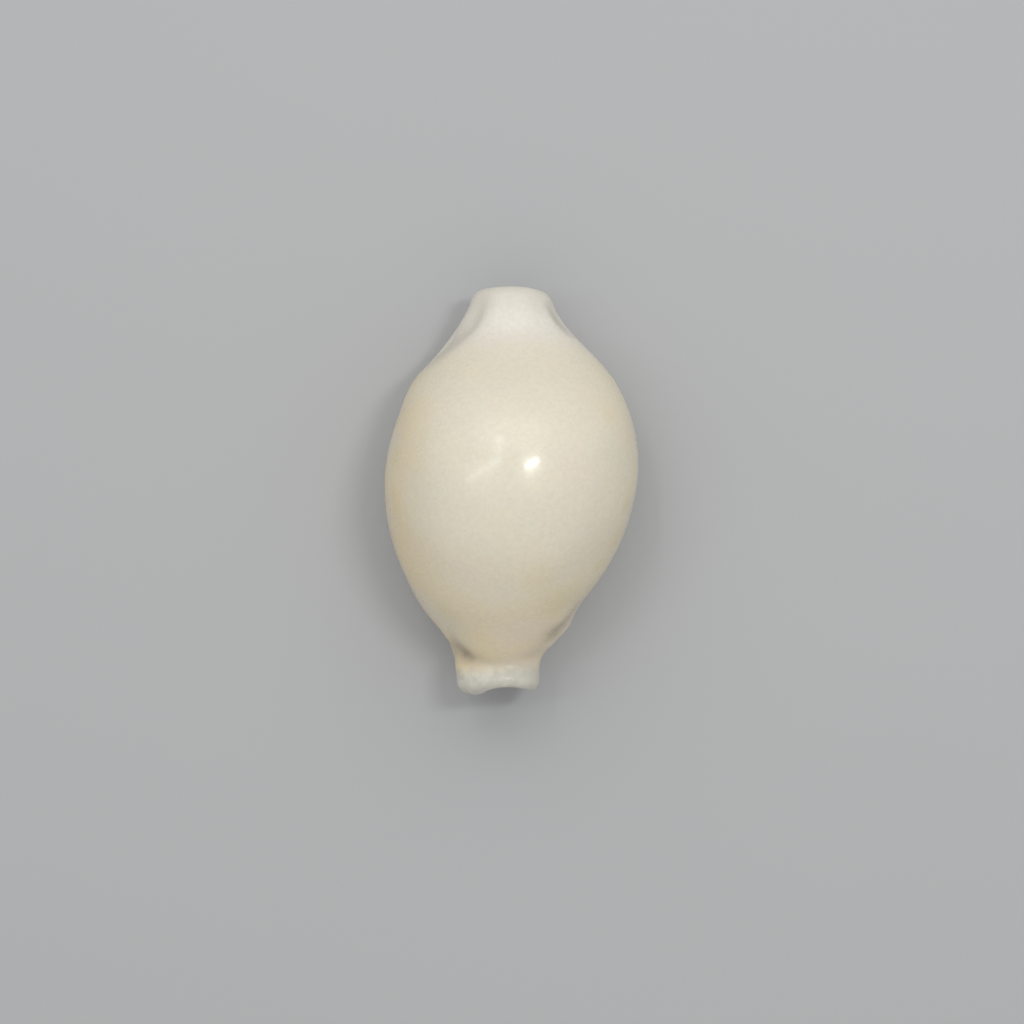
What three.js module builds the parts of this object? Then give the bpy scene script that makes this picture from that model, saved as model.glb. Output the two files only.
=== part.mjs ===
import * as THREE from "three";
import { mergeVertices } from "three/addons/utils/BufferGeometryUtils.js";

// A large white cowrie shell lying on its base, in millimetres. +Y is the spire end, -Y the front beak,
// -X the side of the outer lip, +X the side of the inner lip and +Z the back.

// Driving dimensions. Each profile is a list of [y, value] points along the shell, joined by a smooth curve.
const FRONT = -45.5;
const REAR = 45.5;
const LEFT_EDGE = [
  [FRONT, -11.9], [-40, -12.3], [-35.6, -13.2], [-32.5, -14.5], [-27, -18.9], [-20, -23.1], [-11, -26.4],
  [0, -27.95], [9.5, -27], [18, -24.5], [24.3, -21.7], [30, -17], [36, -12.4], [41, -9.5], [REAR, -8.1],
];
const RIGHT_EDGE = [
  [FRONT, 6], [-40, 6.3], [-36.8, 7], [-33.6, 9.6], [-30, 12.7], [-26.5, 14.4], [-21.5, 18.1], [-13, 23.3],
  [-4, 26.7], [4.5, 27.95], [13, 27.2], [20, 25], [26, 21.5], [31.5, 16.5], [37, 11.6], [42, 8.9], [REAR, 7.8],
];
const CREST = [
  [FRONT, 21.2], [-41.5, 20.9], [-38.5, 20.5], [-36.6, 21.3], [-34.4, 23.6], [-27, 31.8], [-18, 39.4],
  [-8, 44.4], [4, 46], [12, 44.6], [19, 40.2], [25, 34], [30.5, 27.2], [34.5, 23.3], [38, 21.6], [42, 20.2],
  [REAR, 18.6],
];
const CREST_X = [[FRONT, -3], [-30, -2], [-8, -0.4], [15, 0.2], [REAR, 0]];
const MARGIN = [[FRONT, 14.8], [-36, 13.2], [-20, 13.6], [0, 14.6], [20, 14], [36, 13], [REAR, 13.6]];
const BASE = [
  [FRONT, 9.8], [-38, 6], [-27, 2], [-14, -0.4], [0, -0.9], [14, -0.5], [27, 1.6], [38, 5.2], [REAR, 8.4],
];
const SLIT_X = [[FRONT, -0.9], [-30, -2.6], [-10, -4], [10, -4], [28, -1.9], [REAR, 1.2]];
const SLIT_HALF = [[FRONT, 3.1], [-34, 3.6], [-22, 3.3], [0, 2.9], [20, 3.1], [35, 3.2], [REAR, 2.8]];
const LIP_HEIGHT = [[FRONT, 1.8], [-36, 4.2], [-20, 6.4], [0, 7], [20, 6.4], [36, 4.2], [REAR, 2.4]];
const LIP_ROUND = [[FRONT, 1.7], [-30, 2.8], [0, 3.2], [30, 2.8], [REAR, 1.7]];
const WALL = [[FRONT, 3.2], [-38, 2.8], [-30, 1.9], [-15, 1.6], [20, 1.6], [30, 2], [38, 2.8], [REAR, 3]];

const LIP_WALL_SHARE = 1.35; // the outer lip's side is thicker than the back, by this factor
const LIP_SHOULDER = 0.9; // how far a lip's inner side steps back from its nose, as a share of its rounding
const CAVITY_FLOOR_SHARE = 0.45; // place of the hollow's lowest line between the inner lip and the side
const HOLLOW_END = 40; // the hollow closes into the end channels at this distance from the middle
const HOLLOW_FADE = 14;
const CHANNEL_STEP = 0.25; // the end channels are this much wider above their lips, on each side

// The inner whorl rolls up from the inner lip like a scroll. Its reach is measured from its seat on the lip.
const WHORL_MIDDLE = 1;
const WHORL_HALF_LENGTH = 31;
const WHORL_TOP = [6.5, 26];
const WHORL_FAR = [16.5, 12.5];
const WHORL_LOW = [8.5, 4.2];
const WHORL_NEAR = [-0.6, 8];
const WHORL_WALL = 1.6;

// Both ends are cut off nearly square, with the corners drawn back along a shallow bow. Below the margin an end
// draws back towards the base, and the lips' corners beside the slit are round.
const REAR_TIP = 45.05;
const REAR_BOW_LEFT = 0.01;
const REAR_BOW_RIGHT = 0.022;
const FRONT_TIP = -43.2;
const FRONT_HORNS = 0.035; // the beak's two corners reach past its middle
const FRONT_HORN_REACH = 8.4;
const FRONT_MIDDLE_X = -0.9;
const END_LEAN = 0.1;
const END_UNDERCUT = 0.08;
const END_PASSES = 5;
const LIP_CORNER = 2.2;
const RIM_ROUND_LIMIT = 3.4;
const RIM_ROUND_SOFTNESS = 1.8;
const RIM_ROUND_LEAST = 0.8;

// The crease behind the front beak sweeps back with the square and the fourth power of its distance from the
// crest. Its depth is given as [x, depth] points, and it fades out between two heights over the margin.
const CREASE_Y = -38.3;
const CREASE_SQUARE = 0.024;
const CREASE_FOURTH = 0.0001;
const CREASE_REACH = 7;
const CREASE_DEPTH = [
  [-14.5, 0], [-13, 1], [-11.4, 1.4], [-9.1, 1], [-5, 0.5], [3, 0.4], [7, 0.4], [9, 0],
];
const CREASE_HALF = 1.7;
const CREASE_FADE = [-2, 0];

// Grooves of the back: each a line of [y, x] points in plan, its depth as [y, depth] points and its half widths
// towards the crest and away from it. The grooves fade out between two heights over the margin.
const GROOVES = [
  {
    line: [[26, -21], [32.3, -14.5], [36, -10.2], [41, -7.2], [46, -6]],
    depth: [[26, 0], [32.3, 1.3], [36, 1.3], [41, 0.5], [46, 0]],
    half: [1.7, 1.5],
    fade: [-2, 2],
  },
  {
    line: [[32, 16], [35.8, 12.2], [38.3, 10.2], [41, 8.5], [44, 7.3]],
    depth: [[33, 0], [35, 0.45], [37.6, 0.65], [40, 0.4], [42, 0]],
    half: [1, 1.1],
    fade: [-0.5, 1],
  },
  {
    line: [[-36, 7.2], [-32.7, 9.7], [-31, 11.5], [-29.2, 13.6], [-26.3, 15.6], [-22, 18.4]],
    depth: [[-34.5, 0], [-32.4, 0.7], [-30.7, 1.3], [-29, 1.3], [-26.3, 0.7], [-23.5, 0]],
    half: [1.8, 0.9],
    fade: [-0.5, 1.2],
  },
];
const SLOPE_STEP = 0.05; // the slope of a groove's line is taken over this distance either way

// Steps of the mesh: along the shell, round each end, and along each stretch of a section.
const LENGTH_STEPS = 34;
const LENGTH_CROWDING = 0.25;
const END_STEPS = 3;
const STRETCH_STEPS = [3, 6, 9, 9, 7, 3, 6, 4, 3, 1];
const FIRST_SUNK_STRETCH = 1; // from the outer lip's base
const LAST_SUNK_STRETCH = 4; // to the inner lip's base
const WELD_DISTANCE = 1e-3;

const smoothStep = (t) => {
  const c = THREE.MathUtils.clamp(t, 0, 1);
  return c * c * (3 - 2 * c);
};
const mix = THREE.MathUtils.lerp;

// Natural cubic curve through a profile's points, as a function of y.
function profile(points) {
  const n = points.length;
  const bend = new Array(n).fill(0);
  const factor = new Array(n).fill(0);
  for (let i = 1; i < n - 1; i += 1) {
    const before = points[i][0] - points[i - 1][0];
    const after = points[i + 1][0] - points[i][0];
    const slopeChange = (points[i + 1][1] - points[i][1]) / after - (points[i][1] - points[i - 1][1]) / before;
    const pivot = 2 * (before + after) - before * factor[i - 1];
    factor[i] = after / pivot;
    bend[i] = (6 * slopeChange - before * bend[i - 1]) / pivot;
  }
  for (let i = n - 2; i > 0; i -= 1) {
    bend[i] -= factor[i] * bend[i + 1];
  }
  return (y) => {
    const at = THREE.MathUtils.clamp(y, points[0][0], points[n - 1][0]);
    let i = 0;
    while (i < n - 2 && at > points[i + 1][0]) {
      i += 1;
    }
    const width = points[i + 1][0] - points[i][0];
    const p = (points[i + 1][0] - at) / width;
    const q = 1 - p;
    const curve = ((p ** 3 - p) * bend[i] + (q ** 3 - q) * bend[i + 1]) * (width ** 2 / 6);
    return p * points[i][1] + q * points[i + 1][1] + curve;
  };
}

const leftEdge = profile(LEFT_EDGE);
const rightEdge = profile(RIGHT_EDGE);
const crest = profile(CREST);
const crestX = profile(CREST_X);
const margin = profile(MARGIN);
const base = profile(BASE);
const slitX = profile(SLIT_X);
const slitHalf = profile(SLIT_HALF);
const lipHeight = profile(LIP_HEIGHT);
const lipRound = profile(LIP_ROUND);
const wall = profile(WALL);
const creaseDepth = profile(CREASE_DEPTH);
const grooves = GROOVES.map(({ line, depth, half, fade }) => ({
  lineX: profile(line),
  depthAt: profile(depth),
  half,
  fade,
}));

// Turning points of the section at y, as [x, z], for its outer and its inner side. They are alternately the
// side of a curve, where it runs upright, and its top or bottom, where it runs level. Both sides start on the
// nose of the outer lip, go over the back to the inner lip and end on the free edge of the inner whorl.
function section(y, crestY) {
  const lipLow = base(y);
  const lipTop = lipLow + lipHeight(y);
  const noseLeft = [slitX(y) - slitHalf(y), (lipLow + lipTop) / 2];
  const noseRight = [slitX(y) + slitHalf(y), (lipLow + lipTop) / 2];
  const round = lipRound(y);
  const hollow = smoothStep((HOLLOW_END - Math.abs(y)) / HOLLOW_FADE);
  const step = CHANNEL_STEP + LIP_SHOULDER * round * hollow;
  const sideLeft = mix(noseLeft[0] - CHANNEL_STEP, leftEdge(y) + LIP_WALL_SHARE * wall(y), hollow);
  const sideRight = mix(noseRight[0] + CHANNEL_STEP, rightEdge(y) - wall(y), hollow);
  const stepLeft = Math.min(step, noseLeft[0] - sideLeft);
  const seat = noseRight[0] + step;
  const curl = Math.max(0, 1 - ((y - WHORL_MIDDLE) / WHORL_HALF_LENGTH) ** 2);
  const onWhorl = ([x, z], inwardX, inwardZ) => [
    seat + curl * (x + inwardX * WHORL_WALL),
    lipTop + curl * (z + inwardZ * WHORL_WALL),
  ];
  const top = crest(crestY);
  return {
    outer: [
      noseLeft, [noseLeft[0] - round, lipLow], [leftEdge(y), margin(y)], [crestX(y), top],
      [rightEdge(y), margin(y)], [noseRight[0] + round, lipLow], noseRight,
      onWhorl(WHORL_TOP, 0, 0), onWhorl(WHORL_FAR, 0, 0), onWhorl(WHORL_LOW, 0, 0),
      onWhorl(WHORL_LOW, -0.5, 0.5),
    ],
    inner: [
      noseLeft, [noseLeft[0] - stepLeft, lipTop], [sideLeft, margin(y)], [crestX(y), top - wall(y)],
      [sideRight, margin(y)], [mix(seat, sideRight, CAVITY_FLOOR_SHARE), lipTop], onWhorl(WHORL_NEAR, 0, 0),
      onWhorl(WHORL_TOP, 0, -1), onWhorl(WHORL_FAR, -1, 0), onWhorl(WHORL_LOW, 0, 1),
      onWhorl(WHORL_LOW, -0.5, 0.5),
    ],
  };
}

// Point on a section's side: a quarter of an ellipse joins each turning point to the next.
function sidePoint(turns, column) {
  const from = turns[column.stretch];
  const to = turns[column.stretch + 1];
  const angle = (column.part * Math.PI) / 2;
  if (column.stretch % 2 === 0) {
    return [to[0] + (from[0] - to[0]) * Math.cos(angle), from[1] + (to[1] - from[1]) * Math.sin(angle)];
  }
  return [from[0] + (to[0] - from[0]) * Math.sin(angle), to[1] + (from[1] - to[1]) * Math.cos(angle)];
}

// How far the crease is swept back at a distance from the crest.
function creaseSweep(aside) {
  return CREASE_SQUARE * aside ** 2 + CREASE_FOURTH * aside ** 4;
}

function creaseShift(x, y) {
  const nearCrease = Math.exp(-(((y - CREASE_Y) / CREASE_REACH) ** 2));
  return -creaseSweep(x - crestX(y)) * nearCrease;
}

// How far the crease sinks at a point. Its width is measured square to its line.
function creaseAt(x, y, aboveMargin) {
  const aside = x - crestX(y);
  const slope = 2 * CREASE_SQUARE * aside + 4 * CREASE_FOURTH * aside ** 3;
  const distance = (y - CREASE_Y - creaseSweep(aside)) / CREASE_HALF;
  const share = smoothStep((aboveMargin - CREASE_FADE[0]) / (CREASE_FADE[1] - CREASE_FADE[0]));
  return share * Math.max(0, creaseDepth(x)) * Math.exp(-(distance ** 2) / (1 + slope ** 2));
}

// How far one groove sinks at a point. Its width is measured square to its line.
function grooveAt({ lineX, depthAt, half, fade }, x, y, aboveMargin) {
  const aside = x - lineX(y);
  const slope = (lineX(y + SLOPE_STEP) - lineX(y - SLOPE_STEP)) / (2 * SLOPE_STEP);
  const towardsCrest = aside * lineX(y) < 0;
  const distance = aside / (towardsCrest ? half[0] : half[1]);
  const share = smoothStep((aboveMargin - fade[0]) / (fade[1] - fade[0]));
  return share * Math.max(0, depthAt(y)) * Math.exp(-(distance ** 2) / (1 + slope ** 2));
}

// How far the crease and the grooves sink together at a point of the outer side.
function sunkAt(x, y, z) {
  const aboveMargin = z - margin(y);
  const crease = creaseAt(x, y, aboveMargin);
  return grooves.reduce((sunk, groove) => sunk + grooveAt(groove, x, y, aboveMargin), crease);
}

// Outer and inner points of one column at y, as [x, z]. Only the outer lip's base, the back and the inner lip's
// base are sunk by the grooves, and nothing reaches below z = 0, where the shell lies.
function wallPoints(column, y) {
  const rough = sidePoint(section(y, y).outer, column);
  const turns = section(y, y + creaseShift(rough[0], y));
  const outer = sidePoint(turns.outer, column);
  const inner = sidePoint(turns.inner, column);
  if (column.stretch >= FIRST_SUNK_STRETCH && column.stretch <= LAST_SUNK_STRETCH) {
    const [dx, dz] = [inner[0] - outer[0], inner[1] - outer[1]];
    const reach = sunkAt(outer[0], y, outer[1]) / Math.hypot(dx, dz);
    outer[0] += dx * reach;
    outer[1] += dz * reach;
  }
  outer[1] = Math.max(outer[1], 0);
  return { outer, inner };
}

// How far an end is drawn back at a point (x, z) of it.
function drawnBackAt(x, y, z) {
  const below = Math.max(0, margin(y) - z);
  const intoLip = THREE.MathUtils.clamp(Math.abs(x - slitX(y)) - slitHalf(y), 0, LIP_CORNER);
  const corner = LIP_CORNER - Math.sqrt(LIP_CORNER ** 2 - (LIP_CORNER - intoLip) ** 2);
  return END_LEAN * below + END_UNDERCUT * below ** 2 + corner * smoothStep(below / LIP_CORNER);
}

// Where a column meets the rear or front end, and how round the rim is there.
function columnEnd(column, rear) {
  let y = rear ? REAR_TIP : FRONT_TIP;
  let half = 0;
  for (let pass = 0; pass < END_PASSES; pass += 1) {
    const { outer, inner } = wallPoints(column, y);
    const x = (outer[0] + inner[0]) / 2;
    const drawnBack = drawnBackAt(x, y, (outer[1] + inner[1]) / 2);
    half = Math.hypot(outer[0] - inner[0], outer[1] - inner[1]) / 2;
    if (rear) {
      y = REAR_TIP - (x < 0 ? REAR_BOW_LEFT : REAR_BOW_RIGHT) * x * x - drawnBack;
    } else {
      y = FRONT_TIP - FRONT_HORNS * Math.min(Math.abs(x - FRONT_MIDDLE_X), FRONT_HORN_REACH) ** 2 + drawnBack;
    }
  }
  const round = RIM_ROUND_LEAST + (RIM_ROUND_LIMIT - RIM_ROUND_LEAST) * (half / (half + RIM_ROUND_SOFTNESS));
  return { y, round };
}

// Rows of one column from the front rim to the rear rim, each with its y and how far the wall has closed.
function rowsOf(column) {
  const front = columnEnd(column, false);
  const rear = columnEnd(column, true);
  const rows = [];
  for (let i = 0; i < END_STEPS; i += 1) {
    const angle = (i / END_STEPS) * (Math.PI / 2);
    rows.push({ y: front.y + front.round * (1 - Math.cos(angle)), open: Math.sin(angle) });
  }
  for (let i = 0; i <= LENGTH_STEPS; i += 1) {
    const t = (2 * i) / LENGTH_STEPS - 1;
    const share = (t * (1 + LENGTH_CROWDING - LENGTH_CROWDING * t * t) + 1) / 2;
    rows.push({ y: mix(front.y + front.round, rear.y - rear.round, share), open: 1 });
  }
  for (let i = END_STEPS - 1; i >= 0; i -= 1) {
    const angle = (i / END_STEPS) * (Math.PI / 2);
    rows.push({ y: rear.y - rear.round * (1 - Math.cos(angle)), open: Math.sin(angle) });
  }
  return rows;
}

function shellGeometry() {
  const columns = [];
  STRETCH_STEPS.forEach((steps, stretch) => {
    for (let i = 0; i < steps; i += 1) {
      columns.push({ stretch, part: i / steps });
    }
  });
  columns.push({ stretch: STRETCH_STEPS.length - 1, part: 1 });

  const positions = [];
  const rowCount = LENGTH_STEPS + 1 + 2 * END_STEPS;
  for (const column of columns) {
    for (const { y, open } of rowsOf(column)) {
      const { outer, inner } = wallPoints(column, y);
      const middle = [(outer[0] + inner[0]) / 2, (outer[1] + inner[1]) / 2];
      positions.push(mix(middle[0], outer[0], open), y, mix(middle[1], outer[1], open));
      positions.push(mix(middle[0], inner[0], open), y, mix(middle[1], inner[1], open));
    }
  }

  const index = [];
  for (let c = 0; c < columns.length - 1; c += 1) {
    for (let r = 0; r < rowCount - 1; r += 1) {
      for (const sheet of [0, 1]) {
        const a = 2 * (c * rowCount + r) + sheet;
        const b = a + 2;
        const d = a + 2 * rowCount;
        const e = d + 2;
        if (sheet === 0) {
          index.push(a, d, b, b, d, e);
        } else {
          index.push(a, b, d, b, e, d);
        }
      }
    }
  }
  const geometry = new THREE.BufferGeometry();
  geometry.setAttribute("position", new THREE.Float32BufferAttribute(positions, 3));
  geometry.setIndex(index);
  return joined(geometry);
}

// Joins the two sheets along their shared border and drops the triangles that have shrunk to a line.
function joined(geometry) {
  const merged = mergeVertices(geometry, WELD_DISTANCE);
  const kept = [];
  const index = merged.index.array;
  for (let i = 0; i < index.length; i += 3) {
    const [a, b, c] = [index[i], index[i + 1], index[i + 2]];
    if (a !== b && b !== c && c !== a) {
      kept.push(a, b, c);
    }
  }
  merged.setIndex(kept);
  merged.computeVertexNormals();
  return merged;
}

// Puts the shell on z = 0, centred in x and y.
function settled(geometry) {
  geometry.computeBoundingBox();
  const { min, max } = geometry.boundingBox;
  geometry.translate(-(min.x + max.x) / 2, -(min.y + max.y) / 2, -min.z);
  return geometry;
}

const enamel = new THREE.MeshStandardMaterial({ color: 0xe9e1cc, roughness: 0.18, metalness: 0 });
const shell = new THREE.Mesh(settled(shellGeometry()), enamel);
shell.name = "shell";

const cowrie = new THREE.Group();
cowrie.add(shell);

export default cowrie;
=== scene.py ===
import math

import bmesh
import bpy
import numpy as np
from mathutils import Matrix, Vector


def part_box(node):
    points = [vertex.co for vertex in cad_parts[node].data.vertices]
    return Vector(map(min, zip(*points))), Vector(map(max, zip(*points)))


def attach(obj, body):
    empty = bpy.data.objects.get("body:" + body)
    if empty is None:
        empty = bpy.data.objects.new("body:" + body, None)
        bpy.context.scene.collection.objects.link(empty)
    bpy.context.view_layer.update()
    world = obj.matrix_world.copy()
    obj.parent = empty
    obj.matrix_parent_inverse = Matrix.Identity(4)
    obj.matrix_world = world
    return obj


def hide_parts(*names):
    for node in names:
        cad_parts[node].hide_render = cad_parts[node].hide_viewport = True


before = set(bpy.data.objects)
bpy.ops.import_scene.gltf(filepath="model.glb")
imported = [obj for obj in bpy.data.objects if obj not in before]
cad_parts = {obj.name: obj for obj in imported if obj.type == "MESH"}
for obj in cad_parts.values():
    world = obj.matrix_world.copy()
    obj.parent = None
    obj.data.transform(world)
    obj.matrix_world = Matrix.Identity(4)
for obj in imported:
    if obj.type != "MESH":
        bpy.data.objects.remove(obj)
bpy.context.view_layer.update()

# The shape is worked out in millimetres, as in the CAD model, and the meshes are in metres.
MM = 0.001

# Profiles along the shell, as (y, value) points in millimetres. y runs from the front beak to the spire end.
FRONT = -45.5
REAR = 45.5
LEFT_EDGE = [
    (FRONT, -11.9), (-40, -12.3), (-35.6, -13.2), (-32.5, -14.5), (-27, -18.9), (-20, -23.1), (-11, -26.4),
    (0, -27.95), (9.5, -27), (18, -24.5), (24.3, -21.7), (30, -17), (36, -12.4), (41, -9.5), (REAR, -8.1),
]
RIGHT_EDGE = [
    (FRONT, 6), (-40, 6.3), (-36.8, 7), (-33.6, 9.6), (-30, 12.7), (-26.5, 14.4), (-21.5, 18.1), (-13, 23.3),
    (-4, 26.7), (4.5, 27.95), (13, 27.2), (20, 25), (26, 21.5), (31.5, 16.5), (37, 11.6), (42, 8.9),
    (REAR, 7.8),
]
CREST = [
    (FRONT, 21.2), (-41.5, 20.9), (-38.5, 20.5), (-36.6, 21.3), (-34.4, 23.6), (-27, 31.8), (-18, 39.4),
    (-8, 44.4), (4, 46), (12, 44.6), (19, 40.2), (25, 34), (30.5, 27.2), (34.5, 23.3), (38, 21.6), (42, 20.2),
    (REAR, 18.6),
]
CREST_X = [(FRONT, -3), (-30, -2), (-8, -0.4), (15, 0.2), (REAR, 0)]
MARGIN = [(FRONT, 14.8), (-36, 13.2), (-20, 13.6), (0, 14.6), (20, 14), (36, 13), (REAR, 13.6)]
BASE = [
    (FRONT, 9.8), (-38, 6), (-27, 2), (-14, -0.4), (0, -0.9), (14, -0.5), (27, 1.6), (38, 5.2), (REAR, 8.4),
]
SLIT_X = [(FRONT, -0.9), (-30, -2.6), (-10, -4), (10, -4), (28, -1.9), (REAR, 1.2)]
SLIT_HALF = [(FRONT, 3.1), (-34, 3.6), (-22, 3.3), (0, 2.9), (20, 3.1), (35, 3.2), (REAR, 2.8)]
LIP_HEIGHT = [(FRONT, 1.8), (-36, 4.2), (-20, 6.4), (0, 7), (20, 6.4), (36, 4.2), (REAR, 2.4)]
LIP_ROUND = [(FRONT, 1.7), (-30, 2.8), (0, 3.2), (30, 2.8), (REAR, 1.7)]
WALL = [(FRONT, 3.2), (-38, 2.8), (-30, 1.9), (-15, 1.6), (20, 1.6), (30, 2), (38, 2.8), (REAR, 3)]

LIP_WALL_SHARE = 1.35  # the outer lip's side is thicker than the back, by this factor
LIP_SHOULDER = 0.9  # how far a lip's inner side steps back from its nose, as a share of its rounding
CAVITY_FLOOR_SHARE = 0.45  # place of the hollow's lowest line between the inner lip and the side
HOLLOW_END = 40  # the hollow closes into the end channels at this distance from the middle
HOLLOW_FADE = 14  # and has its full width this much nearer to the middle
CHANNEL_STEP = 0.25  # the end channels are this much wider above their lips, on each side
FLOOR_SOFTNESS = 0.12  # how softly the underside flattens on the floor

# Inner whorl: its reach from its seat on the inner lip, as (x, z).
WHORL_MIDDLE = 1
WHORL_HALF_LENGTH = 31
WHORL_TOP = (6.5, 26)
WHORL_FAR = (16.5, 12.5)
WHORL_LOW = (8.5, 4.2)
WHORL_NEAR = (-0.6, 8)
WHORL_WALL = 1.6

# The two ends are cut off nearly square. The rear one bows out, with the square of the distance from its
# middle, and the front one's two corners reach further out than its middle, like short horns. Both draw back
# below the margin, with the depth below it and with that depth's square.
REAR_TIP = 45.05
REAR_BOW_LEFT = 0.01
REAR_BOW_RIGHT = 0.022
FRONT_TIP = -43.2
FRONT_HORNS = 0.035
FRONT_HORN_REACH = 8.4
FRONT_MIDDLE_X = -0.9
END_LEAN = 0.1
END_UNDERCUT = 0.08
END_PASSES = 5  # an end's place depends on the section there, so it is found in this many passes
LIP_CORNER = 2.2  # how round the lips' corners are at the ends

# The rims round off over a distance along the shell that grows with the wall's thickness, from the least
# towards the limit.
RIM_ROUND_LEAST = 0.8
RIM_ROUND_LIMIT = 3.4
RIM_ROUND_SOFTNESS = 1.8

# The crease behind the front beak sweeps back with the square and the fourth power of its distance from the
# crest. Its depth is given as (x, depth) points, and it fades out between two heights over the margin.
CREASE_Y = -38
CREASE_SQUARE = 0.022
CREASE_FOURTH = 0.00007
CREASE_REACH = 7
CREASE_DEPTH = [(-14.5, 0), (-13, 1), (-11.4, 1.4), (-9.1, 1), (-5, 0.6), (3, 0.5), (7, 0.4), (9, 0)]
CREASE_HALF = 1.7
CREASE_FADE = (-2, 0)
# Painted shade, with some brown dirt, darkens the crease by this share for each millimetre of its depth.
CREASE_SHADE_AND_DIRT = 0.62

# Grooves of the back: each a line of (y, x) points in plan, its depth as (y, depth) points and its half
# widths, towards the crest and away from it. They fade out between two heights over the margin, and are
# darkened with painted shade and some dirt, given as its share where they are a millimetre deep.
GROOVES = [
    {"line": [(26, -21), (32.3, -14.5), (36, -10.2), (41, -7.2), (46, -6)],
     "depth": [(26, 0), (32.3, 1.3), (36, 1.3), (41, 0.5), (46, 0)],
     "half": (1.7, 1.5), "fade": (-2, 2), "painted_shade_and_dirt": 0.25},
    {"line": [(32, 16), (35.8, 12.2), (38.3, 10.2), (41, 8.5), (44, 7.3)],
     "depth": [(33, 0), (35, 0.45), (37.6, 0.65), (40, 0.4), (42, 0)],
     "half": (1, 1.1), "fade": (-0.5, 4.5), "painted_shade_and_dirt": 0.9},
    {"line": [(-36, 7.2), (-32.7, 9.7), (-31, 11.5), (-29.2, 13.6), (-26.3, 15.6), (-22, 18.4)],
     "depth": [(-34.5, 0), (-32.4, 0.7), (-30.7, 1.3), (-29, 1.3), (-26.3, 0.7), (-23.5, 0)],
     "half": (1.8, 0.9), "fade": (-0.5, 5.5), "painted_shade_and_dirt": 0.8},
]
SLOPE_STEP = 0.05  # the slope of a groove's line is taken over this distance either way

# Teeth: ridges across the two lips, made by carving the gaps between them. On the base ("out") and in the
# slit ("in") they fade out between two distances from the lip's nose. Half a tooth is a share of the pitch.
OUTER_TEETH = {
    "count": 26, "first": -37, "last": 37.5, "height": 0.75, "out": (4, 8.5), "in": (1.5, 3.6), "seed": 3,
}
INNER_TEETH = {
    "count": 22, "first": -36, "last": 32, "height": 0.65, "out": (2.5, 6), "in": (1.5, 3.4), "seed": 4,
}
TOOTH_WANDER = 0.22
TOOTH_HALF_SHARE = 0.46
TOOTH_SIZES = (0.75, 1)
TEETH_FADE_PITCHES = 3

# Steps of the mesh: along the shell, round each end, and along each stretch of a section. A stretch joins one
# turning point of the section to the next, and the named ones start at these places.
LENGTH_STEPS = 270
LENGTH_CROWDING = 0.1  # how much closer together the steps are towards the ends
END_STEPS = 9
STRETCH_STEPS = [12, 22, 38, 38, 20, 12, 8, 6, 4, 2]
OUTER_BASE = 1
CREST_LINE = 3
RIGHT_SIDE = 4
INNER_BASE = 5
INNER_NOSE = 6
JOIN_DISTANCE = 0.002  # points that are nearer than this become one
SHORTEST_LENGTH = 1e-9  # vectors without any length are divided by this instead

# The skin is not perfectly even: waves of this height, with lengths between these two, add up to low swells.
SWELL_HEIGHT = 0.05
SWELL_WAVES = 7
SWELL_LENGTHS = (14, 34)
SWELL_END_FADE = 0.08  # as a share of the shell's length, at each end
SWELL_SEED = 11


def smooth_step(t):
    c = np.clip(t, 0, 1)
    return c * c * (3 - 2 * c)


def mix(a, b, share):
    return a + (b - a) * share


class Profile:
    """A natural cubic curve through (y, value) points."""

    def __init__(self, points):
        self.y = np.array([p[0] for p in points], float)
        self.value = np.array([p[1] for p in points], float)
        count = len(points)
        width = np.diff(self.y)
        system = np.eye(count)
        right = np.zeros(count)
        for i in range(1, count - 1):
            system[i, i - 1:i + 2] = width[i - 1], 2 * (width[i - 1] + width[i]), width[i]
            before = (self.value[i] - self.value[i - 1]) / width[i - 1]
            after = (self.value[i + 1] - self.value[i]) / width[i]
            right[i] = 6 * (after - before)
        self.bend = np.linalg.solve(system, right)

    def __call__(self, y):
        at = np.clip(y, self.y[0], self.y[-1])
        i = np.clip(np.searchsorted(self.y, at) - 1, 0, len(self.y) - 2)
        width = self.y[i + 1] - self.y[i]
        p = (self.y[i + 1] - at) / width
        q = 1 - p
        curve = (p ** 3 - p) * self.bend[i] + (q ** 3 - q) * self.bend[i + 1]
        return p * self.value[i] + q * self.value[i + 1] + curve * width ** 2 / 6


left_edge = Profile(LEFT_EDGE)
right_edge = Profile(RIGHT_EDGE)
crest = Profile(CREST)
crest_x = Profile(CREST_X)
margin = Profile(MARGIN)
base = Profile(BASE)
slit_x = Profile(SLIT_X)
slit_half = Profile(SLIT_HALF)
lip_height = Profile(LIP_HEIGHT)
lip_round = Profile(LIP_ROUND)
wall = Profile(WALL)
crease_depth = Profile(CREASE_DEPTH)
groove_curves = [(Profile(groove["line"]), Profile(groove["depth"]), groove) for groove in GROOVES]


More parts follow.
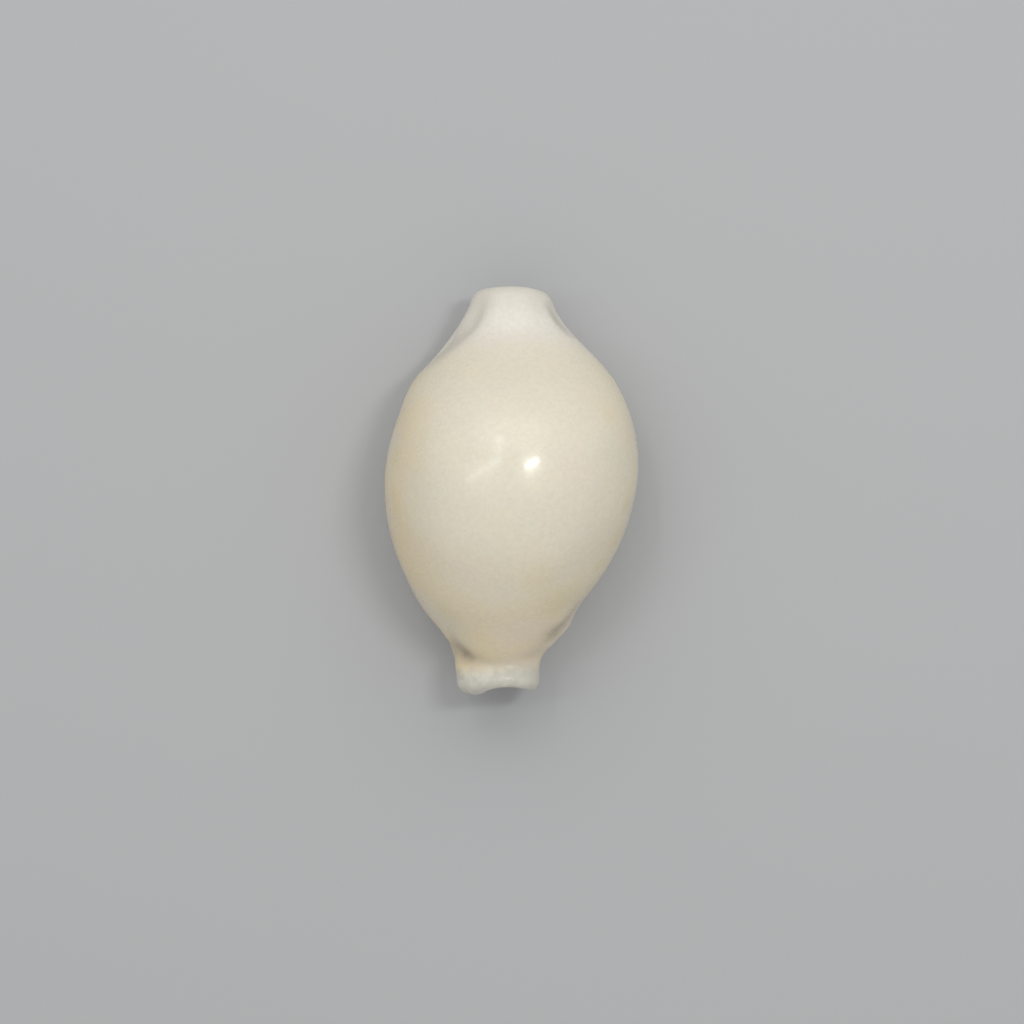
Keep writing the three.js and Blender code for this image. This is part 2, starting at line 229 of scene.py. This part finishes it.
def section(y, crest_y):
    """Turning points (x, z) of the sections at y, for the outer and the inner side.

    They are alternately where a side runs upright and where it runs level. Both sides start on the nose of
    the outer lip, go over the back to the inner lip and end on the free edge of the inner whorl.
    """
    lip_low = base(y)
    lip_top = lip_low + lip_height(y)
    nose_z = (lip_low + lip_top) / 2
    nose_left = slit_x(y) - slit_half(y)
    nose_right = slit_x(y) + slit_half(y)
    rounding = lip_round(y)
    hollow = smooth_step((HOLLOW_END - np.abs(y)) / HOLLOW_FADE)
    step = CHANNEL_STEP + LIP_SHOULDER * rounding * hollow
    side_left = mix(nose_left - CHANNEL_STEP, left_edge(y) + LIP_WALL_SHARE * wall(y), hollow)
    side_right = mix(nose_right + CHANNEL_STEP, right_edge(y) - wall(y), hollow)
    step_left = np.minimum(step, nose_left - side_left)
    seat = nose_right + step
    curl = np.maximum(0, 1 - ((y - WHORL_MIDDLE) / WHORL_HALF_LENGTH) ** 2)

    def on_whorl(point, inward_x, inward_z):
        """A point of the whorl, moved into its wall by shares of the wall's thickness along x and z."""
        x = seat + curl * (point[0] + inward_x * WHORL_WALL)
        return x, lip_top + curl * (point[1] + inward_z * WHORL_WALL)

    top = crest(crest_y)
    free_edge = on_whorl(WHORL_LOW, -0.5, 0.5)
    outer = [
        (nose_left, nose_z), (nose_left - rounding, lip_low), (left_edge(y), margin(y)), (crest_x(y), top),
        (right_edge(y), margin(y)), (nose_right + rounding, lip_low), (nose_right, nose_z),
        on_whorl(WHORL_TOP, 0, 0), on_whorl(WHORL_FAR, 0, 0), on_whorl(WHORL_LOW, 0, 0), free_edge,
    ]
    inner = [
        (nose_left, nose_z), (nose_left - step_left, lip_top), (side_left, margin(y)),
        (crest_x(y), top - wall(y)), (side_right, margin(y)),
        (mix(seat, side_right, CAVITY_FLOOR_SHARE), lip_top), on_whorl(WHORL_NEAR, 0, 0),
        on_whorl(WHORL_TOP, 0, -1), on_whorl(WHORL_FAR, -1, 0), on_whorl(WHORL_LOW, 0, 1), free_edge,
    ]
    return outer, inner


def side_point(turns, stretch, part):
    """(x, z) on a section's side: a quarter of an ellipse joins each turning point to the next."""
    from_x, from_z = turns[stretch]
    to_x, to_z = turns[stretch + 1]
    angle = part * math.pi / 2
    if stretch % 2 == 0:
        return to_x + (from_x - to_x) * math.cos(angle), from_z + (to_z - from_z) * math.sin(angle)
    return from_x + (to_x - from_x) * math.sin(angle), to_z + (from_z - to_z) * math.cos(angle)


def groove_at(x, y, z):
    """How far the back's grooves and its crease sink at a point, and how much painted shade, with some dirt,
    darkens them there.
    """
    sweep, slope = crease_sweep(x - crest_x(y))
    distance = (y - CREASE_Y - sweep) / np.sqrt(1 + slope * slope)
    above_margin = z - margin(y)
    share = smooth_step((above_margin - CREASE_FADE[0]) / (CREASE_FADE[1] - CREASE_FADE[0]))
    sunk = share * np.maximum(0, crease_depth(x)) * np.exp(-(distance / CREASE_HALF) ** 2)
    painted_shade_and_dirt = CREASE_SHADE_AND_DIRT * sunk
    for line, depth, groove in groove_curves:
        aside = x - line(y)
        slope = (line(y + SLOPE_STEP) - line(y - SLOPE_STEP)) / (2 * SLOPE_STEP)
        half = np.where(aside * line(y) < 0, *groove["half"])
        low, high = groove["fade"]
        share = smooth_step((above_margin - low) / (high - low))
        share = share * np.exp(-(aside / half) ** 2 / (1 + slope * slope))
        sunk = sunk + np.maximum(0, depth(y)) * share
        painted_shade_and_dirt = painted_shade_and_dirt + groove["painted_shade_and_dirt"] * np.clip(depth(y), 0, 1) * share
    return sunk, painted_shade_and_dirt


def crease_sweep(aside):
    """How far the crease is swept back at a distance from the crest, and its slope there."""
    sweep = CREASE_SQUARE * aside ** 2 + CREASE_FOURTH * aside ** 4
    return sweep, 2 * CREASE_SQUARE * aside + 4 * CREASE_FOURTH * aside ** 3


def crease_shift(x, y):
    near_crease = np.exp(-((y - CREASE_Y) / CREASE_REACH) ** 2)
    return -crease_sweep(x - crest_x(y))[0] * near_crease


def wall_points(stretch, part, y):
    """Outer and inner points (x, z) of one column at y, and the painted shade and dirt on the outer one."""
    rough_x, _ = side_point(section(y, y)[0], stretch, part)
    outer_turns, inner_turns = section(y, y + crease_shift(rough_x, y))
    outer_x, outer_z = side_point(outer_turns, stretch, part)
    inner_x, inner_z = side_point(inner_turns, stretch, part)
    painted_shade_and_dirt = np.zeros(np.shape(y))
    if OUTER_BASE <= stretch <= RIGHT_SIDE:
        depth, painted_shade_and_dirt = groove_at(outer_x, y, outer_z)
        across = np.hypot(inner_x - outer_x, inner_z - outer_z)
        outer_x = outer_x + (inner_x - outer_x) * depth / across
        outer_z = outer_z + (inner_z - outer_z) * depth / across
    return (outer_x, outer_z), (inner_x, inner_z), painted_shade_and_dirt


def column_end(stretch, part, rear):
    """Where a column meets an end of the shell, and how round the rim is there."""
    y = REAR_TIP if rear else FRONT_TIP
    for _ in range(END_PASSES):
        (outer_x, outer_z), (inner_x, inner_z), _ = wall_points(stretch, part, y)
        x = (outer_x + inner_x) / 2
        below = max(0, margin(y) - (outer_z + inner_z) / 2)
        into_lip = np.clip(abs(x - slit_x(y)) - slit_half(y), 0, LIP_CORNER)
        corner = LIP_CORNER - math.sqrt(LIP_CORNER ** 2 - (LIP_CORNER - into_lip) ** 2)
        drawn_back = END_LEAN * below + END_UNDERCUT * below ** 2 + corner * smooth_step(below / LIP_CORNER)
        half = math.hypot(outer_x - inner_x, outer_z - inner_z) / 2
        if rear:
            y = REAR_TIP - (REAR_BOW_LEFT if x < 0 else REAR_BOW_RIGHT) * x * x - drawn_back
        else:
            horn = min(abs(x - FRONT_MIDDLE_X), FRONT_HORN_REACH)
            y = FRONT_TIP - FRONT_HORNS * horn * horn + drawn_back
    rounding = RIM_ROUND_LEAST + (RIM_ROUND_LIMIT - RIM_ROUND_LEAST) * half / (half + RIM_ROUND_SOFTNESS)
    return y, rounding


def column_rows(stretch, part):
    """y of each row of a column, and how far the wall is open there: 0 on the rims, 1 between them."""
    front, front_round = column_end(stretch, part, False)
    rear, rear_round = column_end(stretch, part, True)
    angle = np.arange(END_STEPS) / END_STEPS * math.pi / 2
    t = np.linspace(-1, 1, LENGTH_STEPS + 1)
    share = (t * (1 + LENGTH_CROWDING - LENGTH_CROWDING * t * t) + 1) / 2
    y = np.concatenate([
        front + front_round * (1 - np.cos(angle)),
        mix(front + front_round, rear - rear_round, share),
        (rear - rear_round * (1 - np.cos(angle)))[::-1],
    ])
    return y, np.concatenate([np.sin(angle), np.ones(LENGTH_STEPS + 1), np.sin(angle)[::-1]])


def columns():
    made = []
    for stretch, steps in enumerate(STRETCH_STEPS):
        made += [(stretch, i / steps) for i in range(steps)]
    return made + [(len(STRETCH_STEPS) - 1, 1.0)]


def sheets():
    """The outer and the inner sheet as arrays of points (columns, rows, axes), and the outer one's painted
    shade and dirt.
    """
    outer, inner, painted_shade_and_dirt_columns = [], [], []
    for stretch, part in columns():
        y, opening = column_rows(stretch, part)
        (outer_x, outer_z), (inner_x, inner_z), painted_shade_and_dirt = wall_points(stretch, part, y)
        middle_x = (outer_x + inner_x) / 2
        middle_z = (outer_z + inner_z) / 2
        outer.append(np.stack([mix(middle_x, outer_x, opening), y, mix(middle_z, outer_z, opening)], 1))
        inner.append(np.stack([mix(middle_x, inner_x, opening), y, mix(middle_z, inner_z, opening)], 1))
        painted_shade_and_dirt_columns.append(painted_shade_and_dirt)
    return np.array(outer), np.array(inner), np.array(painted_shade_and_dirt_columns)


def unit(vectors):
    lengths = np.linalg.norm(vectors, axis=-1, keepdims=True)
    return vectors / np.maximum(lengths, SHORTEST_LENGTH)


def sheet_normals(points):
    """Unit normals of a sheet, pointing away from the wall for the outer sheet."""
    return unit(np.cross(np.gradient(points, axis=0), np.gradient(points, axis=1)))


def arc_from(points, column):
    """Distance along each section from one of its columns, in millimetres."""
    steps = np.linalg.norm(np.diff(points, axis=0), axis=-1)
    arc = np.concatenate([np.zeros((1, points.shape[1])), np.cumsum(steps, axis=0)])
    return arc - arc[column]


def tooth_relief(y, teeth):
    """Along one lip: minus the teeth's height in the gaps, 0 on the teeth, which are a little uneven."""
    rng = np.random.default_rng(teeth["seed"])
    pitch = (teeth["last"] - teeth["first"]) / (teeth["count"] - 1)
    centres = teeth["first"] + pitch * np.arange(teeth["count"])
    centres = centres + rng.uniform(-TOOTH_WANDER, TOOTH_WANDER, teeth["count"])
    sizes = rng.uniform(*TOOTH_SIZES, teeth["count"])
    half = pitch * TOOTH_HALF_SHARE
    wave = np.zeros(np.shape(y))
    for centre, size in zip(centres, sizes):
        bump = np.cos(np.clip((y - centre) / half, -1, 1) * math.pi / 2) ** 2
        wave = np.maximum(wave, bump * size)
    fade = TEETH_FADE_PITCHES * pitch
    ends = smooth_step((y - teeth["first"] + pitch) / fade) * smooth_step((teeth["last"] + pitch - y) / fade)
    return (wave - 1) * ends * teeth["height"]


def first_column(stretch):
    return sum(STRETCH_STEPS[:stretch])


def lip_mask(arc, teeth):
    """1 on a lip's nose, falling to 0 along the base (arc below 0) and into the slit (arc above 0)."""
    base_start, base_end = teeth["out"]
    slit_start, slit_end = teeth["in"]
    on_base = 1 - smooth_step((-arc - base_start) / (base_end - base_start))
    in_slit = 1 - smooth_step((arc - slit_start) / (slit_end - slit_start))
    return on_base * in_slit


def add_teeth(outer, inner):
    """Carves the gaps between the teeth into both sides of the outer lip and into the inner lip."""
    left_outside = tooth_relief(outer[..., 1], OUTER_TEETH) * lip_mask(-arc_from(outer, 0), OUTER_TEETH)
    left_inside = tooth_relief(inner[..., 1], OUTER_TEETH) * lip_mask(arc_from(inner, 0), OUTER_TEETH)
    inner_nose = arc_from(outer, first_column(INNER_NOSE))
    right = tooth_relief(outer[..., 1], INNER_TEETH) * lip_mask(inner_nose, INNER_TEETH)
    left_outside[first_column(CREST_LINE):] = 0
    left_inside[first_column(CREST_LINE):] = 0
    right[:first_column(RIGHT_SIDE)] = 0
    carved_outer = outer + sheet_normals(outer) * (left_outside + right)[..., None]
    carved_inner = inner - sheet_normals(inner) * left_inside[..., None]
    carved_inner[0] = carved_outer[0]
    return carved_outer, carved_inner


def add_swells(outer):
    """Low uneven swells over the outer sheet, fading out at the lips and rims."""
    rng = np.random.default_rng(SWELL_SEED)
    height = np.zeros(outer.shape[:2])
    for _ in range(SWELL_WAVES):
        direction = unit(rng.normal(size=3))
        length = rng.uniform(*SWELL_LENGTHS)
        height += np.sin(2 * math.pi * outer @ direction / length + rng.uniform(0, 2 * math.pi))
    fade_columns = np.zeros(len(outer))
    start, stop = first_column(OUTER_BASE), first_column(INNER_BASE)
    across = np.linspace(0, math.pi, stop - start)
    fade_columns[start:stop] = np.sqrt(np.sin(across))
    rows = np.linspace(0, 1, outer.shape[1])
    fade_rows = smooth_step(rows / SWELL_END_FADE) * smooth_step((1 - rows) / SWELL_END_FADE)
    height *= SWELL_HEIGHT * fade_columns[:, None] * fade_rows[None, :]
    return outer + sheet_normals(outer) * height[..., None]


def border(shape):
    """True on the rims and the free edges, where the two sheets are one."""
    shared = np.zeros(shape, bool)
    shared[[0, -1]] = True
    shared[:, [0, -1]] = True
    return shared


def quads(index):
    corners = [index[:-1, :-1], index[1:, :-1], index[1:, 1:], index[:-1, 1:]]
    return np.stack([corner.ravel() for corner in corners], 1)


def settled(points):
    """The points in metres, on the floor and in the middle of the CAD model's plan."""
    cad_low, cad_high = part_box("shell")
    middle = (np.array(cad_low) + np.array(cad_high)) / 2
    placed = (points - (points.min(0) + points.max(0)) / 2) * MM
    placed[:, :2] += middle[:2]
    placed[:, 2] -= placed[:, 2].min()
    return placed


def flattened(height):
    """The heights softly limited to those above the floor, which gives the shell its resting spots."""
    return (height + np.sqrt(height ** 2 + FLOOR_SOFTNESS ** 2)) / 2


def shell_mesh():
    outer, inner, painted_shade_and_dirt = sheets()
    outer, inner = add_teeth(add_swells(outer), inner)
    outer[..., 2] = flattened(outer[..., 2])
    inner[..., 2] = flattened(inner[..., 2])
    own = ~border(painted_shade_and_dirt.shape)
    outer_index = np.arange(painted_shade_and_dirt.size).reshape(painted_shade_and_dirt.shape)
    inner_index = outer_index.copy()
    inner_index[own] = painted_shade_and_dirt.size + np.arange(own.sum())
    points = settled(np.concatenate([outer.reshape(-1, 3), inner[own]]))
    faces = np.concatenate([quads(outer_index), quads(inner_index)[:, ::-1]])
    mesh = bpy.data.meshes.new("shell_surface")
    mesh.from_pydata(points.tolist(), [], faces.tolist())
    # The outer sheet's painted shade and dirt in the grooves and the crease, kept as an attribute for the
    # material.
    values = np.concatenate([painted_shade_and_dirt.ravel(), np.zeros(own.sum())])
    mesh.attributes.new("painted_shade_and_dirt", "FLOAT", "POINT").data.foreach_set("value", values)
    return mesh


def join_and_smooth(mesh):
    work = bmesh.new()
    work.from_mesh(mesh)
    bmesh.ops.remove_doubles(work, verts=work.verts, dist=JOIN_DISTANCE * MM)
    for face in work.faces:
        face.smooth = True
    work.to_mesh(mesh)
    work.free()


def build_shell():
    mesh = shell_mesh()
    join_and_smooth(mesh)
    shell = bpy.data.objects.new("shell_surface", mesh)
    bpy.context.scene.collection.objects.link(shell)
    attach(shell, "root")
    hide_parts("shell")
    return shell


# The Mix node has sockets for each kind of value, most with the same names. These are the numbers of the
# factor and of the two colours among its inputs, and of the mixed colour among its outputs.
MIX_FACTOR = 0
MIX_FIRST = 6
MIX_SECOND = 7
MIX_RESULT = 2


class Nodes:
    """A material's node tree, with short calls for the nodes that it uses."""

    def __init__(self, name):
        self.material = bpy.data.materials.new(name)
        self.material.use_nodes = True
        self.tree = self.material.node_tree
        self.shader = self.tree.nodes["Principled BSDF"]

    def add(self, kind, inputs=None, **settings):
        node = self.tree.nodes.new(kind)
        for key, value in settings.items():
            setattr(node, key, value)
        for key, value in (inputs or {}).items():
            self.feed(node.inputs[key], value)
        return node

    def feed(self, socket, value):
        if isinstance(value, bpy.types.NodeSocket):
            self.tree.links.new(value, socket)
        else:
            socket.default_value = value

    def noise(self, place, scale, detail, roughness):
        inputs = {"Vector": place, "Scale": scale, "Detail": detail, "Roughness": roughness}
        return self.add("ShaderNodeTexNoise", inputs).outputs["Fac"]

    def map_range(self, value, low, high, at_low, at_high, smooth=True):
        """Turns a value between low and high into one between at_low and at_high."""
        node = self.add(
            "ShaderNodeMapRange",
            {"Value": value, "From Min": low, "From Max": high, "To Min": at_low, "To Max": at_high},
            interpolation_type="SMOOTHSTEP" if smooth else "LINEAR",
        )
        return node.outputs["Result"]

    def math(self, operation, *values):
        node = self.add("ShaderNodeMath", operation=operation)
        for socket, value in zip(node.inputs, values):
            self.feed(socket, value)
        return node.outputs[0]

    def blend(self, factor, first, second):
        inputs = {MIX_FACTOR: factor, MIX_FIRST: first, MIX_SECOND: second}
        node = self.add("ShaderNodeMix", inputs, data_type="RGBA", clamp_factor=True)
        return node.outputs[MIX_RESULT]

    def along(self, value, start, end, share):
        """0 at the start, rising to the share at the end, with both places in millimetres."""
        return self.map_range(value, start * MM, end * MM, 0.0, share)

    def near(self, place, point, radius):
        """1 at a point, falling to 0 at the radius."""
        length = self.add("ShaderNodeVectorMath", {0: place, 1: point}, operation="DISTANCE")
        return self.map_range(length.outputs["Value"], 0.0, radius, 1.0, 0.0)


# Colours of the enamel, in linear light.
CREAM = (0.80, 0.74, 0.595, 1)
WARM = (0.82, 0.68, 0.42, 1)
PINK = (0.80, 0.70, 0.61, 1)
GREY_GREEN = (0.73, 0.72, 0.59, 1)
REAR_WHITE = (0.78, 0.745, 0.66, 1)
REAR_TIP_WHITE = (0.69, 0.66, 0.58, 1)
# The beak's own bluish grey, darkened partly with painted shade where it tilts away from the light.
BEAK_GREY_AND_SHADE = (0.56, 0.545, 0.475, 1)
BEAK_PALE = (0.66, 0.645, 0.57, 1)
UNDER_WHITE = (0.82, 0.79, 0.71, 1)
YELLOW = (0.72, 0.62, 0.34, 1)
# Painted shade in the grooves and the crease, with some brown dirt.
PAINTED_SHADE_AND_DIRT = (0.27, 0.215, 0.16, 1)
MOTTLE = (0.62, 0.56, 0.44, 1)

# Tones that come in along one axis, as (start, end, share): none of them at the start, that share at the end.
# The places are in millimetres.
WARM_FLANK = (42, 18, 0.45)
WARM_LEFT = (-14, -27, 0.6)
WARM_FRONT = (0, -34, 0.35)
REAR_TONE = (24, 37, 1)
REAR_TIP_TONE = (37, 44, 1)
# Where the beak's grey, partly painted shade, comes in.
BEAK_TONE = (-35, -38.4, 1)
# Painted shade: the beak turns greyer towards its right side, which lies away from the light.
BEAK_RIGHT_PAINTED_SHADE = (-2, 5, 0.7)
UNDER_TONE = (12, 4, 0.8)
ROUGHER_BEAK = (-35.5, -39.5, 0.2)
BEAK_WAVINESS = 4  # how far the beak's grey border wanders
BEAK_SLANT = 0.1  # the grey reaches further back on the inner lip's side, by this slope

# Noise, as (scale per metre, detail, roughness), and what its values give, as (low, high, at low, at high).
PINK_NOISE = (62, 1, 0.5)
PINK_CLOUDS = (0.45, 0.7, 0, 0.4)
GREEN_NOISE = (75, 1, 0.5)
GREEN_CLOUDS = (0.45, 0.7, 0, 0.35)
GREEN_SHIFT = (0.31, 0.17, 0.07)  # in metres, so that the two kinds of clouds differ
RAGGED_NOISE = (320, 4, 0.65)
STAIN_PATCHES = (0.38, 0.62, 0.6, 1)
BEAK_PATCHES = (0.4, 0.6, 0, 1)
# Makes the painted shade and dirt in the grooves patchy.
SHADE_AND_DIRT_PATCHES = (0.3, 0.7, 0.8, 1)
MOTTLE_NOISE = (1000, 3, 0.7)
MOTTLING = (0.4, 0.6, 0, 0.2)
WORN_NOISE = (140, 5, 0.6)
POLISH = (0.35, 0.7, 0.24, 0.36)

# The skin's relief: two layers of noise as above, and their height in millimetres.
BROAD_RELIEF = (180, 3, 0.5)
FINE_RELIEF = (900, 3, 0.6)
FINE_RELIEF_SHARE = 0.12
RELIEF_HEIGHT = 0.3
RELIEF_STRENGTH = 0.08

# The shader's own settings: a little light passes through the enamel, and a thin clear layer lies over it.
ENAMEL_SETTINGS = {
    "Subsurface Weight": 0.12,
    "Subsurface Radius": (1, 0.75, 0.5),
    "Subsurface Scale": 0.0025,
    "Coat Weight": 0.25,
    "Coat Roughness": 0.12,
}

# Stains on the back, as (x, y, radius, strength), the first three in millimetres.
STAINS = [
    (21.1, 16.3, 2.6, 0.45), (25, -3, 3.4, 0.7), (22.7, -10.7, 4, 0.75), (19.2, -16, 4, 0.45),
    (10, -24.5, 8, 0.5), (6.2, -19, 6, 0.3), (-14.3, -26.8, 5, 0.4), (-11.5, -36, 5, 0.25),
    (-25.3, 7.5, 4, 0.5), (-20.4, 25.2, 5, 0.4), (-25.6, -3, 6, 0.4),
]


def back_height(x, y):
    """Height of the back over a point (x, y) of its plan, in millimetres."""
    edge = left_edge(y) if x < crest_x(y) else right_edge(y)
    across = min(1, abs((x - crest_x(y)) / (edge - crest_x(y))))
    return margin(y) + (crest(y) - margin(y)) * math.sqrt(1 - across * across)


def warm_tint(nodes, x, y, z):
    """The enamel is warmer down the flanks, most on the outer lip's side, and towards the front."""
    flank = nodes.along(z, *WARM_FLANK)
    left = nodes.along(x, *WARM_LEFT)
    front = nodes.along(y, *WARM_FRONT)
    return nodes.math("ADD", nodes.math("ADD", flank, left), front)


def add_clouds(nodes, colour, place):
    """Large faint clouds of pink and of grey-green."""
    pink = nodes.map_range(nodes.noise(place, *PINK_NOISE), *PINK_CLOUDS)
    colour = nodes.blend(pink, colour, PINK)
    shifted = nodes.add("ShaderNodeVectorMath", {0: place, 1: GREEN_SHIFT}, operation="ADD").outputs[0]
    green = nodes.map_range(nodes.noise(shifted, *GREEN_NOISE), *GREEN_CLOUDS)
    return nodes.blend(green, colour, GREY_GREEN)


def add_stains(nodes, colour, place, ragged):
    patchy = nodes.map_range(ragged, *STAIN_PATCHES)
    for x, y, radius, strength in STAINS:
        centre = (x * MM, y * MM, float(back_height(x, y)) * MM)
        amount = nodes.math("MULTIPLY", nodes.near(place, centre, radius * MM), strength)
        colour = nodes.blend(nodes.math("MULTIPLY", amount, patchy), colour, YELLOW)
    return colour


def add_end_tones(nodes, colour, x, y, ragged):
    """The whiter spire end, and the grey beak with its ragged border: its grey is partly its own and partly
    painted shade, and painted shade makes it greyer still towards its right side.
    """
    colour = nodes.blend(nodes.along(y, *REAR_TONE), colour, REAR_WHITE)
    colour = nodes.blend(nodes.along(y, *REAR_TIP_TONE), colour, REAR_TIP_WHITE)
    beak = nodes.blend(nodes.map_range(ragged, *BEAK_PATCHES), BEAK_GREY_AND_SHADE, BEAK_PALE)
    # Painted shade on the beak's right side.
    beak = nodes.blend(nodes.along(x, *BEAK_RIGHT_PAINTED_SHADE), beak, BEAK_GREY_AND_SHADE)
    wavy_y = nodes.math("ADD", y, nodes.math("MULTIPLY", ragged, BEAK_WAVINESS * MM))
    border_y = nodes.math("SUBTRACT", wavy_y, nodes.math("MULTIPLY", x, BEAK_SLANT))
    return nodes.blend(nodes.along(border_y, *BEAK_TONE), colour, beak)


def enamel_colour(nodes, place, x, y, z):
    ragged = nodes.noise(place, *RAGGED_NOISE)
    colour = nodes.blend(warm_tint(nodes, x, y, z), CREAM, WARM)
    colour = add_clouds(nodes, colour, place)
    colour = add_stains(nodes, colour, place, ragged)
    colour = add_end_tones(nodes, colour, x, y, ragged)
    colour = nodes.blend(nodes.along(z, *UNDER_TONE), colour, UNDER_WHITE)
    # Painted shade, with some dirt, darkening the grooves and the crease.
    painted_shade_and_dirt = nodes.add("ShaderNodeAttribute", attribute_name="painted_shade_and_dirt").outputs["Fac"]
    patchy_shade_and_dirt = nodes.math("MULTIPLY", painted_shade_and_dirt, nodes.map_range(ragged, *SHADE_AND_DIRT_PATCHES))
    colour = nodes.blend(patchy_shade_and_dirt, colour, PAINTED_SHADE_AND_DIRT)
    return nodes.blend(nodes.map_range(nodes.noise(place, *MOTTLE_NOISE), *MOTTLING), colour, MOTTLE)


def enamel_roughness(nodes, place, y):
    worn = nodes.noise(place, *WORN_NOISE)
    polished = nodes.map_range(worn, *POLISH, smooth=False)
    return nodes.math("ADD", polished, nodes.along(y, *ROUGHER_BEAK))


def enamel_relief(nodes, place):
    fine = nodes.math("MULTIPLY", nodes.noise(place, *FINE_RELIEF), FINE_RELIEF_SHARE)
    relief = nodes.math("ADD", fine, nodes.noise(place, *BROAD_RELIEF))
    inputs = {"Height": relief, "Strength": RELIEF_STRENGTH, "Distance": RELIEF_HEIGHT * MM}
    return nodes.add("ShaderNodeBump", inputs).outputs["Normal"]


def enamel():
    nodes = Nodes("shell_enamel")
    place = nodes.add("ShaderNodeTexCoord").outputs["Object"]
    x, y, z = nodes.add("ShaderNodeSeparateXYZ", {"Vector": place}).outputs
    sockets = nodes.shader.inputs
    nodes.feed(sockets["Base Color"], enamel_colour(nodes, place, x, y, z))
    nodes.feed(sockets["Roughness"], enamel_roughness(nodes, place, y))
    nodes.feed(sockets["Normal"], enamel_relief(nodes, place))
    for name, value in ENAMEL_SETTINGS.items():
        sockets[name].default_value = value
    return nodes.material


# Stage: floor, lights and camera, in metres.
FLOOR_SIZE = 3.0
FLOOR_COLOUR = (0.46, 0.465, 0.47, 1)
FLOOR_ROUGHNESS = 0.9
FRAME_SPAN = 0.2263  # width that the photo's frame covers at the height of the shell's widest outline
OUTLINE_HEIGHT = 0.0145
FRAME_CENTRE = (0.0001, -0.0047)
CAMERA_DISTANCE = 0.85  # from that height
NEAREST_SEEN = 0.01
SENSOR = 36.0  # in millimetres, as Blender has it
WORLD_COLOUR = (1, 1, 1, 1)
WORLD_STRENGTH = 0.57
LIT_POINT = (0, 0, 0.045)
# Each light's name, the two ends of its middle line, its width and its power in watts.
LIGHTS = [
    ("softbox", (-0.7, 0.82, 0.84), (0.7, 0.82, 0.84), 0.9, 3.5),
    ("key", (0.145, 0.09, 0.673), (0.305, 0.15, 0.627), 0.055, 0.85),
    ("strip_across", (-0.475, 0.008, 0.56), (-0.166, 0.152, 0.7), 0.03, 0.3),
    ("strip_along", (-0.166, 0.152, 0.7), (-0.147, 0.45, 0.57), 0.02, 0.22),
]


def build_floor():
    mesh = bpy.data.meshes.new("floor")
    half = FLOOR_SIZE / 2
    corners = [(-half, -half, 0), (half, -half, 0), (half, half, 0), (-half, half, 0)]
    mesh.from_pydata(corners, [], [(0, 1, 2, 3)])
    floor = bpy.data.objects.new("floor", mesh)
    bpy.context.scene.collection.objects.link(floor)
    nodes = Nodes("floor_paper")
    nodes.shader.inputs["Base Color"].default_value = FLOOR_COLOUR
    nodes.shader.inputs["Roughness"].default_value = FLOOR_ROUGHNESS
    mesh.materials.append(nodes.material)


def area_light(name, start, end, width, power):
    """A soft rectangle of light that runs from one point to another and faces the shell's top."""
    start, end = Vector(start), Vector(end)
    place = (start + end) / 2
    data = bpy.data.lights.new(name, "AREA")
    data.shape = "RECTANGLE"
    data.size = (end - start).length
    data.size_y = width
    data.energy = power
    light = bpy.data.objects.new(name, data)
    away = (place - Vector(LIT_POINT)).normalized()
    side = away.cross(end - start).normalized()
    light.matrix_world = Matrix((side.cross(away), side, away)).transposed().to_4x4()
    light.location = place
    bpy.context.scene.collection.objects.link(light)


def build_lights():
    world = bpy.data.worlds.new("studio")
    world.use_nodes = True
    world.node_tree.nodes["Background"].inputs["Color"].default_value = WORLD_COLOUR
    world.node_tree.nodes["Background"].inputs["Strength"].default_value = WORLD_STRENGTH
    bpy.context.scene.world = world
    for name, start, end, width, power in LIGHTS:
        area_light(name, start, end, width, power)


def build_camera():
    data = bpy.data.cameras.new("camera")
    data.sensor_width = SENSOR
    data.lens = SENSOR * CAMERA_DISTANCE / FRAME_SPAN
    data.clip_start = NEAREST_SEEN
    camera = bpy.data.objects.new("camera", data)
    camera.location = (*FRAME_CENTRE, OUTLINE_HEIGHT + CAMERA_DISTANCE)
    bpy.context.scene.collection.objects.link(camera)
    bpy.context.scene.camera = camera


shell = build_shell()
shell.data.materials.append(enamel())
build_floor()
build_lights()
build_camera()
bpy.context.scene.view_settings.view_transform = "Standard"
